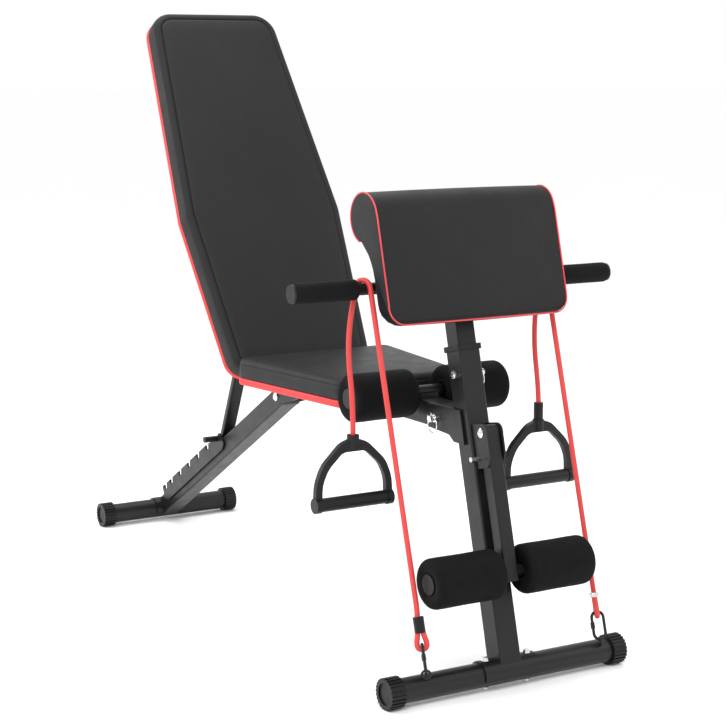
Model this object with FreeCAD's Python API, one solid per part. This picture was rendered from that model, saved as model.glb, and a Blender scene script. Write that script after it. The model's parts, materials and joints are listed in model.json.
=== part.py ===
import FreeCAD, Part
import math
import os

V = FreeCAD.Vector
X = V(1, 0, 0)
Y = V(0, 1, 0)
Z = V(0, 0, 1)

# Driving sizes, mm. The working frame has its origin on the floor under the front stabiliser's
# axis: +X to the right of someone who faces the front post from outside, +Y towards the backrest, +Z up.

wall = 2.0               # steel tube walls
gap = 0.3                # between pieces on different bodies
run_fit = 0.05           # radial running clearance of pins and shafts

# stabilisers
foot_d = 40.0
front_foot_half = 227.0
rear_foot_half = 156.5
rear_foot_y = 1279.5
cap_d = 50.4
cap_len = 26.0
cap_ribs = 24
foot_z = 25.0            # height of both stabiliser axes, a little under the caps' radius

# front post, which leans back, and the post that slides in it
post = 40.0
post_lean = 14.6
post_len = 521.0
inner_post = 35.0
inner_low = 330.0
inner_high = 706.0
collar_h = 9.0

# main beam
beam = 40.0
beam_z = 410.5
beam_rear = 640.0
plate_t = 4.0

# front bracket, fold bolt and lock pin
fold_y = 186.0
fold_z = 409.0
fold_pin_y = 171.0
height_pin_t = 478.0     # along the post

# rear leg, its pivot and the rack
leg = 38.0
leg_pivot_y = 726.0
leg_pivot_z = 357.0
leg_pin_y = 645.0
leg_pin_z = 399.0
slot_w = 12.8
slot_pitch = 51.6        # along the leg
slot_last = 34.8         # the lowest slot is closer to its neighbour
slot_count = 7
tooth_h = 12.5
rod_d = 12.0
rod_half = 50.0

# seat
seat_top = 459.0
seat_low = 410.0
seat_front = 303.0
seat_rear = 625.0
seat_front_half = 120.0
seat_rear_half = 160.0
band_h = 12.0
board_t = 9.0

# backrest, laid out flat: s runs up from its lower edge's reference, h is up out of the face
rest_y = 667.0
rest_z = 456.0
rest_angle = 60.0
rest_len = 720.0
rest_low = -35.0
rest_low_half = 143.0
rest_wide_half = 165.0
rest_wide_s = 285.0
rest_top_half = 131.0
rest_t = 45.0
rail_w = 20.0
rail_h = 25.0
rail_x = 25.0            # inner side of each rail
hinge_s = -30.5
hinge_h = -59.2
strut_s = 206.0
strut_h = -57.5
strut_w = 26.0
strut_t = 12.0

# foam rollers
roller_d = 80.0
roller_half = 150.0
shaft_d = 20.0
upper_y = 242.0
upper_gap = 30.0         # inner end of each upper roller
lower_gap = 22.0          # clear of the post behind

# leg extension arm, parallel to the post
arm = 25.0
arm_off = 43.0           # in front of the post's axis
arm_pivot_t = 379.0
arm_shaft_t = 157.0
arm_pin_t = 339.0
arm_pin_off = 25.8
arm_cheek = 3.0

# preacher pad, in the post's leaning frame: d is behind (+) or in front (-) of its axis
pad_half = 170.0
pad_face = -68.0
pad_back = -36.0
pad_low = 557.0
roll_d = -28.0
roll_t = 733.6
roll_r = 40.0

# handlebar
bar_d = 19.0
bar_off = -6.5
bar_t = 625.2
bar_half = 300.0
grip_d = 33.0
grip_in = 188.0

# elastic ropes and their D handles
rope_d = 8.6
handle_w = 142.0
handle_grip_d = 22.0
rope_gap = 0.3           # between the ropes and the bar
left_handle = (-184.6, 290.0, 108.0)
right_handle = (178.5, 284.0, 103.0)    # middle, height of the grip, height of its hub above that
left_eye = (-158.5, -12.5, 50.6)        # where each carabiner hangs in its eye
right_eye = (180.0, -13.5, 50.6)
rope_bar_x = 169.5       # where the ropes meet the bar
clip_len = 50.0
clip_w = 24.0
clip_rod = 5.0
ring_r = 13.0            # split rings of the lock pins

lean = math.radians(post_lean)
leg_slope = math.atan2(leg_pivot_z - foot_z, rear_foot_y - leg_pivot_y)
nodes = {}


def keep(name, shape):
    nodes[name] = shape
    return shape


def box(x0, x1, y0, y1, z0, z1):
    return Part.makeBox(x1 - x0, y1 - y0, z1 - z0, V(x0, y0, z0))


def rod(start, end, r):
    along = end - start
    return Part.makeCylinder(r, along.Length, start, along)


def rod_x(x0, x1, y, z, r):
    return Part.makeCylinder(r, x1 - x0, V(x0, y, z), X)


def loop_wire(points, place):
    """A closed outline of straight sides with a round corner at each (a, b, radius)."""
    flat = [V(p[0], p[1], 0) for p in points]
    count = len(points)
    starts = []
    ends = []
    mids = []
    for i in range(count):
        here = flat[i]
        back = (flat[i - 1] - here).normalize()
        ahead = (flat[(i + 1) % count] - here).normalize()
        r = points[i][2]
        half = back.getAngle(ahead) / 2
        cut = r / math.tan(half)
        middle = (back + ahead).normalize()
        starts.append(here + back * cut)
        ends.append(here + ahead * cut)
        mids.append(here + middle * (r / math.sin(half) - r))
    edges = []
    for i in range(count):
        if points[i][2] > 0:
            edges.append(Part.Arc(place(starts[i]), place(mids[i]), place(ends[i])).toShape())
        ahead = starts[(i + 1) % count]
        if (ahead - ends[i]).Length > 1e-6:
            edges.append(Part.LineSegment(place(ends[i]), place(ahead)).toShape())
    return Part.Wire(Part.__sortEdges__(edges))


def plate_x(points, x0, x1):
    """A plate with its outline in Y and Z, from x0 to x1."""
    wire = loop_wire(points, lambda p: V(x0, p.x, p.y))
    return Part.Face(wire).extrude(V(x1 - x0, 0, 0))


def plate_y(points, y0, y1):
    """A plate with its outline in X and Z, from y0 to y1."""
    wire = loop_wire(points, lambda p: V(p.x, y0, p.y))
    return Part.Face(wire).extrude(V(0, y1 - y0, 0))


def plate_z(points, z0, z1):
    wire = loop_wire(points, lambda p: V(p.x, p.y, z0))
    return Part.Face(wire).extrude(V(0, 0, z1 - z0))


def square(half, r):
    return [(-half, -half, r), (half, -half, r), (half, half, r), (-half, half, r)]


def square_tube(size, thick, z0, z1, size_y=0.0):
    """A square tube along Z, round at its corners."""
    deep = size_y if size_y else size
    outer = [(-size / 2, -deep / 2, thick * 1.5), (size / 2, -deep / 2, thick * 1.5),
             (size / 2, deep / 2, thick * 1.5), (-size / 2, deep / 2, thick * 1.5)]
    inner = [(math.copysign(abs(a) - thick, a), math.copysign(abs(b) - thick, b), thick * 0.5)
             for a, b, r in outer]
    return plate_z(outer, z0, z1).cut(plate_z(inner, z0 - 1, z1 + 1))


def turned(shape, angle, centre, axis=X):
    made = shape.copy()
    made.rotate(centre, axis, angle)
    return made


def moved(shape, x=0.0, y=0.0, z=0.0):
    made = shape.copy()
    made.translate(V(x, y, z))
    return made


def group(shapes):
    return shapes[0] if len(shapes) == 1 else Part.makeCompound(shapes)


def leaned(shape):
    """From the post's own frame, d along Y and t along Z, to the standing one."""
    return moved(turned(shape, -post_lean, V(0, 0, 0)), z=foot_z)


def lean_point(x, d, t):
    return V(x, d * math.cos(lean) + t * math.sin(lean), foot_z + t * math.cos(lean) - d * math.sin(lean))


def reclined(shape):
    """From the flat backrest, s along Y and h along Z, to its raised place."""
    return moved(turned(shape, rest_angle, V(0, 0, 0)), y=rest_y, z=rest_z)


def rest_point(x, s, h):
    a = math.radians(rest_angle)
    return V(x, rest_y + s * math.cos(a) - h * math.sin(a), rest_z + s * math.sin(a) + h * math.cos(a))


def leg_point(x, along, up):
    """A point on the rear leg: along it from its pivot, and up square to it."""
    c = math.cos(leg_slope)
    s = math.sin(leg_slope)
    return V(x, leg_pivot_y + along * c + up * s, leg_pivot_z - along * s + up * c)


def bolt_x(x0, x1, y, z, r, head_r, head_t):
    """A domed bolt along X with its head at x0 and a hex nut at x1."""
    dome = Part.makeSphere(head_r * 1.6, V(x0 + head_r * 1.6 - head_t, y, z))
    dome = dome.common(rod_x(x0 - head_t, x0, y, z, head_r))
    nut = Part.makePolygon([V(x1, y + r * 1.8 * math.cos(math.radians(a)),
                              z + r * 1.8 * math.sin(math.radians(a))) for a in range(0, 361, 60)])
    nut = Part.Face(nut).extrude(V(r * 1.4, 0, 0))
    return dome.fuse([rod_x(x0 - 0.5, x1 + r * 1.9, y, z, r), nut]).removeSplitter()


def bolt_z(x, y, z0, z1, r, head_r, head_t, nut_t):
    """A bolt standing along Z, head up at z1 and a round nut under z0."""
    head = Part.makeCone(head_r, head_r * 0.7, head_t, V(x, y, z1), Z)
    shank = Part.makeCylinder(r, z1 - z0 + 1, V(x, y, z0 - 0.5), Z)
    nut = Part.makeCylinder(head_r, nut_t, V(x, y, z0 - nut_t), Z)
    return head.fuse([shank, nut]).removeSplitter()


def ring(centre, axis, r, wire_r):
    return Part.makeTorus(r, wire_r, centre, axis)


def pull_pin(x_head, x_tip, y, z, side, flange_r=8.0):
    """A lock pin along X with a flange, an eye and a split ring hung from it."""
    out = -side
    head = rod(V(x_head + out * 3.5, y, z), V(x_head, y, z), flange_r)
    shank = rod(V(x_head + out * 9, y, z), V(x_tip, y, z), 3.95)
    knob = rod(V(x_head + out * 13, y, z), V(x_head + out * 9, y, z), 5.5)
    hang = ring(V(x_head + out * 6.2, y, z - ring_r + 2.5), X, ring_r, 1.1)
    return head.fuse([shank, knob, hang]).removeSplitter()


def foot_caps(name, y, half):
    """Two ribbed end caps, with a recessed disc and a flat under each."""
    caps = []
    for side in (-1, 1):
        inner = side * (half - cap_len)
        body = rod(V(inner, y, foot_z), V(side * half, y, foot_z), cap_d / 2 - 1.5)
        ribs = []
        for i in range(cap_ribs):
            rib = box(-cap_len / 2, cap_len / 2, -1.7, 1.7, cap_d / 2 - 4, cap_d / 2)
            rib = turned(rib, 360.0 / cap_ribs * i, V(0, 0, 0))
            ribs.append(moved(rib, x=side * (half - cap_len / 2), y=y, z=foot_z))
        body = body.fuse(ribs)
        bore = rod(V(inner - side, y, foot_z), V(side * (half - 4), y, foot_z), foot_d / 2)
        dish = rod(V(side * (half - 2.5), y, foot_z), V(side * (half + 1), y, foot_z), cap_d / 2 - 8)
        under = box(-400, 400, y - 40, y + 40, -5, 0)
        caps.append(body.cut([bore, dish, under]))
    return keep(name, group(caps))


def foam_roller(x0, x1, y, z, bore):
    """A foam sleeve with well rounded ends."""
    r = roller_d / 2
    soft = 13.0
    dish = r * 0.42
    section = Part.Wire([
        Part.LineSegment(V(x0, bore, 0), V(x0, r - soft, 0)).toShape(),
        Part.Arc(V(x0, r - soft, 0), V(x0 + soft * 0.293, r - soft * 0.293, 0), V(x0 + soft, r, 0)).toShape(),
        Part.LineSegment(V(x0 + soft, r, 0), V(x1 - soft, r, 0)).toShape(),
        Part.Arc(V(x1 - soft, r, 0), V(x1 - soft * 0.293, r - soft * 0.293, 0), V(x1, r - soft, 0)).toShape(),
        Part.LineSegment(V(x1, r - soft, 0), V(x1, bore, 0)).toShape(),
        Part.LineSegment(V(x1, bore, 0), V(x0, bore, 0)).toShape()])
    sleeve = Part.Face(section).revolve(V(0, 0, 0), X, 360)
    pocket = rod_x(x1 - 4, x1 + 1, 0, 0, dish)
    if abs(x0) > abs(x1):
        pocket = rod_x(x0 - 1, x0 + 4, 0, 0, dish)
    return moved(sleeve.cut(pocket), y=y, z=z)


def roller_cap(side, y, z):
    """The plug that closes the shaft's end and holds the foam on."""
    disc = rod(V(side * (roller_half - 3.5), y, z), V(side * (roller_half - 0.5), y, z), roller_d * 0.42 / 2 - 0.4)
    plug = rod(V(side * (roller_half - 22), y, z), V(side * (roller_half - 3), y, z), shaft_d / 2 - wall)
    return disc.fuse(plug).removeSplitter()


def stabilisers():
    for name, y, half in (("front_stabiliser", 0.0, front_foot_half), ("rear_stabiliser", rear_foot_y, rear_foot_half)):
        tube = rod_x(-half + 4, half - 4, y, foot_z, foot_d / 2)
        inside = rod_x(-half, half, y, foot_z, foot_d / 2 - wall)
        keep(name, tube.cut(inside))
        foot_caps(name.replace("stabiliser", "foot_caps"), y, half)


def saddle(y, half, turn):
    """A curved shell over the stabiliser, welded under a tube's foot."""
    outer = rod_x(-half, half, y, foot_z, foot_d / 2 + 3)
    outer = outer.cut(rod_x(-half - 1, half + 1, y, foot_z, foot_d / 2))
    below = box(-half - 2, half + 2, y - 50, y + 50, foot_z - 90, foot_z - 6)
    return outer.cut(turned(below, turn, V(0, y, foot_z)))


def front_end():
    """The leaning post, its foot, collar, brackets and bolts."""
    tube = leaned(square_tube(post, wall, 5, post_len))
    tube = tube.cut(rod_x(-60, 60, 0, foot_z, foot_d / 2 + 3))
    pin = lean_point(0, 0, height_pin_t)
    boss = rod_x(-post / 2 - 5, -post / 2, pin.y, pin.z, 6.0)
    holes = [Part.makeCylinder(4.2, 60, V(x, 0, foot_z), Z) for x in (-40.0, 40.0)]
    shell = saddle(0.0, 52.0, 0.0).cut(holes)
    tube = tube.fuse([shell, boss]).cut(rod_x(-60, 60, pin.y, pin.z, 4.0))
    keep("front_post", tube.removeSplitter())
    bolts = [bolt_z(x, 0.0, 5.0, foot_z + foot_d / 2 + 3, 4.0, 6.5, 5.0, 3.5) for x in (-40.0, 40.0)]
    keep("front_foot_bolts", group(bolts))
    for x in (-40.0, 40.0):
        hole = Part.makeCylinder(4.2, 60, V(x, 0, -5), Z)
        nodes["front_stabiliser"] = nodes["front_stabiliser"].cut(hole)
    sleeve = plate_z(square(post / 2 + 2.6, 3), post_len - collar_h + 3, post_len + 3)
    sleeve = sleeve.cut(plate_z(square(post / 2, 2.5), post_len - collar_h, post_len))
    sleeve = sleeve.cut(plate_z(square(inner_post / 2 + gap, 2), post_len - 1, post_len + 4))
    keep("post_collar", leaned(sleeve))


def front_bracket():
    """Two plates welded to the post that straddle the beam's front end, with the fold bolt."""
    inner = beam / 2 + gap
    outline = [(87.5, 378.0, 0), (118.0, 378.0, 3), (132.0, 387.5, 8), (200.0, 391.0, 12), (206.0, 429.0, 8),
               (101.5, 432.0, 0)]
    plates = []
    for side in (-1, 1):
        a = side * inner
        b = side * (inner + plate_t)
        plate = plate_x(outline, min(a, b), max(a, b))
        plates.append(plate)
    pieces = []
    for plate in plates:
        plate = plate.cut(rod_x(-60, 60, fold_y, fold_z, 5.0 + run_fit))
        plate = plate.cut(rod_x(-60, 60, fold_pin_y, fold_z - 1.0, 4.0))
        plate = plate.cut(leaned(box(-post / 2, post / 2, -post / 2, post / 2, 200, 600)))
        pieces.append(plate)
    return keep("front_bracket", group(pieces))


def fold_hardware():
    """The bolt that the front post folds on; its shank runs in the plates and the beam."""
    edge = beam / 2 + gap + plate_t
    keep("front_fold_bolt", bolt_x(-edge - 0.2, edge + 0.2, fold_y, fold_z, 5.0, 8.0, 5.0))
    keep("front_lock_pin", pull_pin(-edge - 0.3, -beam / 2 - 0.4, fold_pin_y, fold_z - 1.0, 1, 6.4))
    pin = lean_point(0, 0, height_pin_t)
    keep("height_lock_pin", pull_pin(post / 2 + 0.3, inner_post / 2 + 0.6, pin.y, pin.z, -1))


def main_frame():
    """The beam, its rear plates, the seat wings and the upper rollers' shaft."""
    half = beam / 2
    front = 129.0
    tube = turned(square_tube(beam, wall, 0, beam_rear - front), -90, V(0, 0, 0))
    tube = moved(tube, y=front, z=beam_z)
    tube = tube.cut(rod_x(-60, 60, fold_y, fold_z, 5.0 + run_fit))
    keep("main_beam", tube)
    lower = leg_pivot_z
    hinge = rest_point(0, hinge_s, hinge_h)
    outline = [(560.0, beam_z + half - 3, 4), (638.0, beam_z + half - 3, 4), (648.0, 416.0, 8), (686.0, 396.0, 0),
               (hinge.y - 6, hinge.z + 11.0, 5), (hinge.y + 10, hinge.z + 9.0, 9), (leg_pivot_y + 20, lower + 6, 14),
               (leg_pivot_y + 8, lower - 17, 12), (650.0, 363.0, 10), (622.0, 382.0, 10), (560.0, 392.0, 4)]
    plates = []
    for side in (-1, 1):
        a = side * half
        b = side * (half + plate_t)
        plate = plate_x(outline, min(a, b), max(a, b))
        plate = plate.cut([rod_x(-60, 60, hinge.y, hinge.z, 5.0 + run_fit),
                           rod_x(-60, 60, leg_pivot_y, leg_pivot_z, 5.0 + run_fit),
                           rod_x(-60, 60, leg_pin_y, leg_pin_z, 4.0)])
        plates.append(plate)
    keep("rear_bracket", group(plates))
    edge = half + plate_t
    keep("leg_pivot_bolt", bolt_x(-edge - 0.2, edge + 0.2, leg_pivot_y, leg_pivot_z, 5.0, 8.5, 5.0))
    keep("leg_lock_pin", pull_pin(-edge - 0.3, -half - 0.4, leg_pin_y, leg_pin_z, 1))
    top = beam_z + half
    wings = []
    for y in (345.0, 545.0):
        for side in (-1, 1):
            a = side * half
            b = side * 108.0
            wings.append(box(min(a, b), max(a, b), y, y + 32, top - 2.5, top + 0.5))
    keep("seat_wings", group(wings))
    shaft_z = top + shaft_d / 2
    tube = rod_x(-roller_half + 6, roller_half - 6, upper_y, shaft_z, shaft_d / 2)
    keep("upper_roller_shaft", tube.cut(rod_x(-200, 200, upper_y, shaft_z, shaft_d / 2 - wall)))
    cradle = box(-half + 3, half - 3, upper_y - 14, upper_y + 14, top - 1, shaft_z - 2)
    cradle = cradle.cut(rod_x(-60, 60, upper_y, shaft_z, shaft_d / 2))
    nodes["main_beam"] = nodes["main_beam"].fuse(cradle).removeSplitter()


def roller_pair(level, inner, y, z):
    for name, side in (("left", -1), ("right", 1)):
        a = side * inner
        b = side * roller_half
        keep(level + "_roller_" + name, foam_roller(min(a, b), max(a, b), y, z, shaft_d / 2 + run_fit))
    caps = [roller_cap(side, y, z) for side in (-1, 1)]
    keep(level + "_roller_caps", group(caps))


def seat_outline(inset):
    front = seat_front + inset
    rear = seat_rear - inset
    a = seat_front_half - inset
    b = seat_rear_half - inset
    return [(-a, front, 30), (a, front, 30), (b, rear - 12, 16), (b - 14, rear, 20), (-b + 14, rear, 20),
            (-b, rear - 12, 16)]


def seat():
    """The padded seat, its board, its red edge band and its bolts."""
    top = beam_z + beam / 2 + 0.5
    over_beam = box(-beam / 2 - 6, beam / 2 + 6, 250, 660, 380, top)
    board = plate_z(seat_outline(10.0), top, top + board_t)
    spots = [(x, y) for x in (-70.0, 70.0) for y in (361.0, 561.0)]
    holes = [Part.makeCylinder(3.3, 20, V(x, y, top - 1), Z) for x, y in spots]
    keep("seat_board", board.cut(holes))
    pad = plate_z(seat_outline(0.0), seat_low + band_h, seat_top - 0.5)
    pocket = plate_z(seat_outline(10.0), seat_low, top + board_t)
    pad = pad.cut(pocket).cut(over_beam)
    keep("seat_pad", pad)
    band = plate_z(seat_outline(0.0), seat_low, seat_low + band_h)
    band = band.cut(plate_z(seat_outline(5.0), seat_low - 1, seat_low + band_h + 1))
    keep("seat_band", band.cut(over_beam))
    bolts = []
    for x, y in spots:
        shank = Part.makeCylinder(3.0, board_t + 2.0, V(x, y, top - 3.0), Z)
        head = Part.makeCone(6.5, 5.0, 3.0, V(x, y, top - 6.0), Z)
        bolts.append(shank.fuse(head).removeSplitter())
    wings = nodes["seat_wings"]
    nodes["seat_wings"] = wings.cut([Part.makeCylinder(3.3, 20, V(x, y, top - 9), Z) for x, y in spots])
    keep("seat_bolts", group(bolts))


def rest_outline(inset):
    low = rest_low + inset
    high = rest_len - inset
    a = rest_low_half - inset
    b = rest_wide_half - inset
    c = rest_top_half - inset
    return [(-a, low, 34), (a, low, 34), (b, rest_wide_s, 60), (c, high, 44), (-c, high, 44), (-b, rest_wide_s, 60)]


def backrest():
    """Pad, board, red edge band, rails, crossbars and the hinge bolt."""
    back = -rest_t
    pad = plate_z(rest_outline(0.0), back + 10.0, -0.5)
    pocket = plate_z(rest_outline(9.0), back - 1, back + 3 + board_t)
    keep("backrest_pad", reclined(pad.cut(pocket)))
    keep("backrest_board", reclined(plate_z(rest_outline(9.0), back + 3, back + 3 + board_t)))
    band = plate_z(rest_outline(0.0), back, back + 10.0)
    band = band.cut(plate_z(rest_outline(4.0), back - 1, back + 11.0))
    band = band.cut(box(-rail_x - rail_w - 1, rail_x + rail_w + 1, rest_low - 1, rest_low + 6, back - 1, back + 3.05))
    keep("backrest_band", reclined(band))
    low = hinge_s - 18.0
    high = 500.0
    rails = []
    for side in (-1, 1):
        tube = square_tube(rail_w, wall, low, high, rail_h)
        tube = turned(tube, -90, V(0, 0, 0))
        x = side * (rail_x + rail_w / 2)
        tube = moved(tube, x=x, z=back + 3 - rail_h / 2)
        tube = tube.cut([rod_x(-60, 60, hinge_s, hinge_h, 5.0 + run_fit), rod_x(-60, 60, strut_s, strut_h, 4.0 + run_fit)])
        rails.append(tube)
    bars = []
    for s in (95.0, 440.0):
        bars.append(box(-rail_x, rail_x, s, s + 20, back + 3 - 20, back + 3))
    frame = rails[0].fuse(rails[1:] + bars).removeSplitter()
    keep("backrest_frame", reclined(frame))
    outer = rail_x + rail_w
    hinge = rest_point(0, hinge_s, hinge_h)
    keep("backrest_hinge_bolt", bolt_x(-outer - 0.2, outer + 0.2, hinge.y, hinge.z, 5.0, 8.5, 4.5))
    top = rest_point(0, strut_s, strut_h)
    keep("strut_bolt", bolt_x(-outer - 0.2, outer + 0.2, top.y, top.z, 4.0, 7.0, 4.0))
    screws = []
    for x in (-rail_x - rail_w / 2, rail_x + rail_w / 2):
        for s in (40.0, 470.0):
            shank = Part.makeCylinder(2.8, 8, V(x, s, back + 2), Z)
            head = Part.makeCylinder(5.5, 2.4, V(x, s, back + 3 - rail_h - 2.4), Z)
            stem = Part.makeCylinder(2.8, rail_h + 2, V(x, s, back + 3 - rail_h - 1), Z)
            screws.append(head.fuse([stem, shank]).removeSplitter())
    screw_holes = [Part.makeCylinder(3.0, rail_h + 14, V(x, s, back - rail_h), Z)
                   for x in (-rail_x - rail_w / 2, rail_x + rail_w / 2) for s in (40.0, 470.0)]
    nodes["backrest_frame"] = nodes["backrest_frame"].cut([reclined(h) for h in screw_holes])
    nodes["backrest_board"] = nodes["backrest_board"].cut([reclined(h) for h in screw_holes])
    keep("backrest_screws", reclined(group(screws)))
    return top


def rear_leg(strut_top):
    """The sloping leg, its rack plates with seven slots, the strut and its cross rod."""
    length = math.hypot(rear_foot_y - leg_pivot_y, leg_pivot_z - foot_z)
    slope = math.degrees(leg_slope)
    pivot = V(0, leg_pivot_y, leg_pivot_z)

    def placed(shape):
        return turned(moved(shape, y=leg_pivot_y, z=leg_pivot_z), -slope, pivot)

    tube = turned(square_tube(leg, wall, 0, length), -90, V(0, 0, 0))
    tube = tube.fuse(rod_x(-leg / 2, leg / 2, 0, 0, leg / 2)).cut(
        turned(plate_z(square(leg / 2 - wall, 1), 12, length + 1), -90, V(0, 0, 0)))
    tube = placed(tube)
    tube = tube.cut([rod_x(-60, 60, leg_pivot_y, leg_pivot_z, 5.0 + run_fit + 0.3),
                     rod_x(-60, 60, rear_foot_y, foot_z, foot_d / 2)])
    keep("rear_leg_tube", tube)
    first = rod_seat()
    tip = leg / 2 + tooth_h
    low = leg / 2 - 22.0
    begin = first - 26.0
    end = first + slot_pitch * (slot_count - 2) + slot_last + 18.0
    outline = [(begin, low + 8, 3), (begin + 10, tip, 4), (end - 4, tip, 2), (end, low + 10, 3), (end - 14, low, 3),
               (begin + 14, low, 3)]
    plates = []
    for side in (-1, 1):
        a = side * (leg / 2)
        b = side * (leg / 2 + plate_t)
        plates.append(placed(plate_x(outline, min(a, b), max(a, b))))
    cuts = []
    for i in range(slot_count):
        along = first + slot_pitch * i
        if i == slot_count - 1:
            along = first + slot_pitch * (i - 1) + slot_last
        foot = leg_point(0, along, leg / 2 + rod_d / 2 + 0.4)
        low_round = rod_x(-60, 60, foot.y, foot.z, slot_w / 2)
        cuts.append(low_round.fuse(box(-60, 60, foot.y - slot_w / 2, foot.y + slot_w / 2, foot.z, foot.z + 40)))
    seat_spot = leg_point(0, first, leg / 2 + rod_d / 2 + 0.4)
    ramp = plate_x([(seat_spot.y, seat_spot.z - 2.8, 0), (seat_spot.y + 40, seat_spot.z - 2.8 - 14.5, 0),
                    (seat_spot.y + 40, seat_spot.z + 40, 0), (seat_spot.y, seat_spot.z + 40, 0)], -60, 60)
    keep("rack_plates", group([p.cut(cuts + [ramp]) for p in plates]))
    shell = saddle(rear_foot_y, 34.0, 0.0)
    shell = shell.cut(placed(turned(plate_z(square(leg / 2, 3), 0, length), -90, V(0, 0, 0))))
    nodes["rear_leg_tube"] = nodes["rear_leg_tube"].fuse(shell).removeSplitter()
    foot = seat_spot
    along = foot - strut_top
    strut = turned(square_tube(strut_w, 1.6, 8, along.Length - 6, strut_t), 0, V(0, 0, 0))
    ends = [rod_x(-strut_w / 2, strut_w / 2, 0, 0, strut_t / 2), rod_x(-strut_w / 2, strut_w / 2, 0, 0, strut_t / 2)]
    ends[1] = moved(ends[1], z=along.Length)
    blocks = [box(-strut_w / 2, strut_w / 2, -strut_t / 2, strut_t / 2, 0, 8),
              box(-strut_w / 2, strut_w / 2, -strut_t / 2, strut_t / 2, along.Length - 6, along.Length)]
    strut = strut.fuse(ends + blocks).removeSplitter()
    strut = strut.cut(rod_x(-60, 60, 0, 0, 4.0 + run_fit))
    angle = math.degrees(math.atan2(-along.y, along.z))
    strut = moved(turned(strut, angle, V(0, 0, 0)), y=strut_top.y, z=strut_top.z)
    strut = strut.fuse(rod_x(-rod_half, rod_half, foot.y, foot.z, rod_d / 2)).removeSplitter()
    keep("backrest_strut", strut)
    return foot, along.Length


def rod_seat():
    """Where the top slot is, along the leg from its pivot."""
    return (987.5 - leg_pivot_y - (leg / 2 + rod_d / 2 + 0.4) * math.sin(leg_slope)) / math.cos(leg_slope)


def leg_extension():
    """The bracket on the post, the hanging arm, its shaft, the pivot bolt and the stop pin."""
    inner = arm / 2 + gap
    cheeks = []
    outline = [(-post / 2, arm_pin_t - 16, 0), (-arm_off - 8, arm_pin_t - 16, 6), (-arm_off - 17, arm_pin_t + 4, 6),
               (-arm_off - 17, arm_pivot_t + 13, 14), (-post / 2, arm_pivot_t + 16, 0)]
    for side in (-1, 1):
        a = side * inner
        b = side * (inner + arm_cheek)
        plate = plate_x(outline, min(a, b), max(a, b))
        plate = plate.cut([rod_x(-60, 60, -arm_off, arm_pivot_t, 5.0 + run_fit),
                           rod_x(-60, 60, -arm_pin_off, arm_pin_t, 4.0)])
        cheeks.append(plate)
    keep("arm_bracket", leaned(group(cheeks)))
    tube = square_tube(arm, wall, arm_shaft_t - 16, arm_pivot_t)
    tube = tube.fuse(rod_x(-arm / 2, arm / 2, 0, arm_pivot_t, arm / 2))
    tube = tube.cut([rod_x(-60, 60, 0, arm_pivot_t, 5.0 + run_fit), rod_x(-60, 60, 0, arm_shaft_t, shaft_d / 2)])
    keep("leg_arm", leaned(moved(tube, y=-arm_off)))
    pivot = lean_point(0, -arm_off, arm_pivot_t)
    edge = inner + arm_cheek
    keep("arm_pivot_bolt", bolt_x(-edge - 0.2, edge + 0.2, pivot.y, pivot.z, 5.0, 8.0, 4.0))
    stop = lean_point(0, -arm_pin_off, arm_pin_t)
    keep("arm_stop_pin", pull_pin(edge + 0.3, -edge - 14.0, stop.y, stop.z, -1, 5.6))
    shaft = lean_point(0, -arm_off, arm_shaft_t)
    tube = rod_x(-roller_half + 6, roller_half - 6, shaft.y, shaft.z, shaft_d / 2)
    keep("lower_roller_shaft", tube.cut(rod_x(-200, 200, shaft.y, shaft.z, shaft_d / 2 - wall)))
    return shaft


def preacher():
    """The sliding post, the pad and its plate, and the handlebar with foam grips."""
    tube = square_tube(inner_post, wall, inner_low, inner_high)
    tube = tube.cut([rod_x(-60, 60, bar_off, bar_t, bar_d / 2), rod_x(-60, 60, 0, height_pin_t, 4.0)])
    steps = [rod_x(-60, 60, 0, height_pin_t - 30.0 * i, 4.0) for i in range(1, 4)]
    keep("preacher_post", leaned(tube.cut(steps)))
    web = pad_back + 3
    mount = box(-90, 90, pad_back, web, 592, 644)
    rib = box(-20, 20, web, -inner_post / 2, 592, 608).fuse(box(-20, 20, web, -inner_post / 2, 630, 644))
    keep("pad_plate", leaned(mount.fuse(rib).removeSplitter()))
    slab = plate_x([(pad_back, 587.0, 14), (-50.0, pad_low + 1, 8), (pad_face, pad_low, 11), (pad_face, roll_t, 0),
                    (roll_d, roll_t, 0), (-10.0, 700.0, 0), (-31.0, 668.0, 0), (pad_back, 645.0, 0)], -pad_half, pad_half)
    pad = slab.fuse(rod_x(-pad_half, pad_half, roll_d, roll_t, roll_r)).removeSplitter()
    front = plate_y([(-pad_half, pad_low, 28), (pad_half, pad_low, 28), (pad_half, roll_t + roll_r, 12),
                     (-pad_half, roll_t + roll_r, 12)], -100, 60)
    clear_post = box(-inner_post / 2 - 1, inner_post / 2 + 1, -inner_post / 2 - 1, 40, 680, inner_high + 1)
    keep("preacher_pad", leaned(pad.common(front).cut(clear_post)))
    bar = lean_point(0, bar_off, bar_t)
    tube = rod_x(-bar_half, bar_half, bar.y, bar.z, bar_d / 2)
    keep("handlebar", tube.cut(rod_x(-400, 400, bar.y, bar.z, bar_d / 2 - 1.5)))
    for name, side in (("left", -1), ("right", 1)):
        a = side * grip_in
        b = side * bar_half
        foam = rod_x(min(a, b), max(a, b), bar.y, bar.z, grip_d / 2)
        keep("bar_grip_" + name, foam.cut(rod_x(-400, 400, bar.y, bar.z, bar_d / 2)))
    plugs = []
    for side in (-1, 1):
        disc = rod(V(side * bar_half, bar.y, bar.z), V(side * (bar_half + 3.5), bar.y, bar.z), grip_d / 2 - 1.5)
        stem = rod(V(side * (bar_half - 18), bar.y, bar.z), V(side * bar_half, bar.y, bar.z), bar_d / 2 - 1.5)
        plugs.append(disc.fuse(stem).removeSplitter())
    keep("bar_end_plugs", group(plugs))
    return bar


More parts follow.
